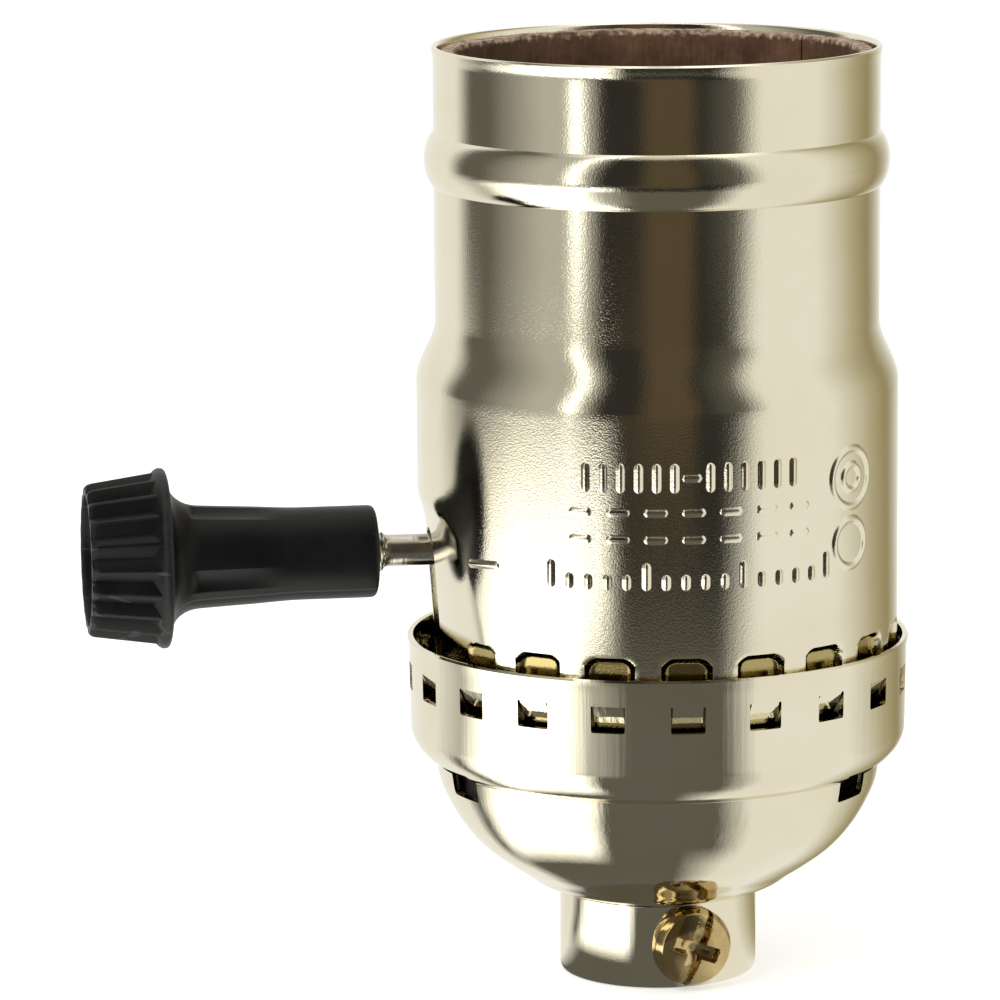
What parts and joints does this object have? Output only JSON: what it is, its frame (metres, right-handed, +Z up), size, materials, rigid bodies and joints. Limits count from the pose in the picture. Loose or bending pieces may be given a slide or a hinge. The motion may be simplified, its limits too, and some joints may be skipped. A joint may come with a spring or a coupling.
{
  "type": "turn knob lamp socket",
  "caption": "Lamp holder with a side turn knob, a lift-off plated shell with a fibre liner, a cap with a crimp band, and a threaded hub for lamp pipe.",
  "frame": {"origin": "centre of the hub's lower face, on the socket's axis", "axes": "+Z up along the socket's axis towards the lamp; the knob points along -X"},
  "size_m": [0.0563, 0.0344, 0.0639],
  "materials": {
    "shell_plate": "bright pale brass plate with a fine orange peel",
    "cap_plate": "bright pale brass plate with upright draw lines",
    "hub_plate": "bright pale brass plate, turned",
    "fibre": "dark brown vulcanised fibre, torn edge",
    "screw_brass": "bright yellow brass",
    "phenolic": "black moulded phenolic",
    "zinc_steel": "zinc-plated steel",
    "shell_aluminium": "bright rolled aluminium",
    "rivet_aluminium": "satin aluminium",
    "strip_brass": "stamped brass strip",
    "nickel_steel": "nickel-plated steel",
    "spring_bronze": "phosphor bronze strip",
    "shaft_steel": "dark plated steel, bright",
    "rotor_plastic": "cream moulded rotor",
    "knob_plastic": "black moulded plastic, satin",
    "insert_brass": "machined brass"
  },
  "bodies": {
    "socket": {"cap": "cap_plate", "hub": "hub_plate", "socket_body": "phenolic", "switch_base": "phenolic", "assembly_screws": "zinc_steel", "screw_shell": "shell_aluminium", "shell_rivets": "rivet_aluminium", "neutral_strap": "strip_brass", "hot_terminal_plate": "strip_brass", "centre_contact": "spring_bronze", "centre_rivet": "strip_brass", "load_contact": "spring_bronze", "detent_spring": "spring_bronze"},
    "shell_cover": {"outer_shell": "shell_plate", "insulating_liner": "fibre"},
    "switch_knob": {"knob": "knob_plastic", "knob_insert": "insert_brass", "switch_shaft": "shaft_steel", "retaining_ring": "zinc_steel", "cam_rotor": "rotor_plastic", "moving_contact": "strip_brass"},
    "hub_screw": {"set_screw": "screw_brass"},
    "hot_screw": {"hot_terminal_screw": "screw_brass"},
    "neutral_screw": {"neutral_terminal_screw": "nickel_steel"}
  },
  "joints": [
    {"name": "knob_turn", "type": "hinge", "parent": "socket", "child": "switch_knob", "pos_m": [0, 0, 0.0298], "axis": [1, 0, 0], "continuous": true, "deforming": ["detent_spring"]},
    {"name": "shell_lift", "type": "slide", "parent": "socket", "child": "shell_cover", "axis": [0, 0, 1], "range_m": [0, 0.042]},
    {"name": "set_screw_turn", "type": "hinge", "parent": "socket", "child": "hub_screw", "pos_m": [0, 0, 0.0029], "axis": [0.1305, -0.9914, 0], "continuous": true},
    {"name": "hot_screw_turn", "type": "hinge", "parent": "socket", "child": "hot_screw", "pos_m": [0, 0, 0.0254], "axis": [0, 1, 0], "continuous": true},
    {"name": "neutral_screw_turn", "type": "hinge", "parent": "socket", "child": "neutral_screw", "pos_m": [0, 0, 0.0254], "axis": [0, -1, 0], "continuous": true}
  ]
}
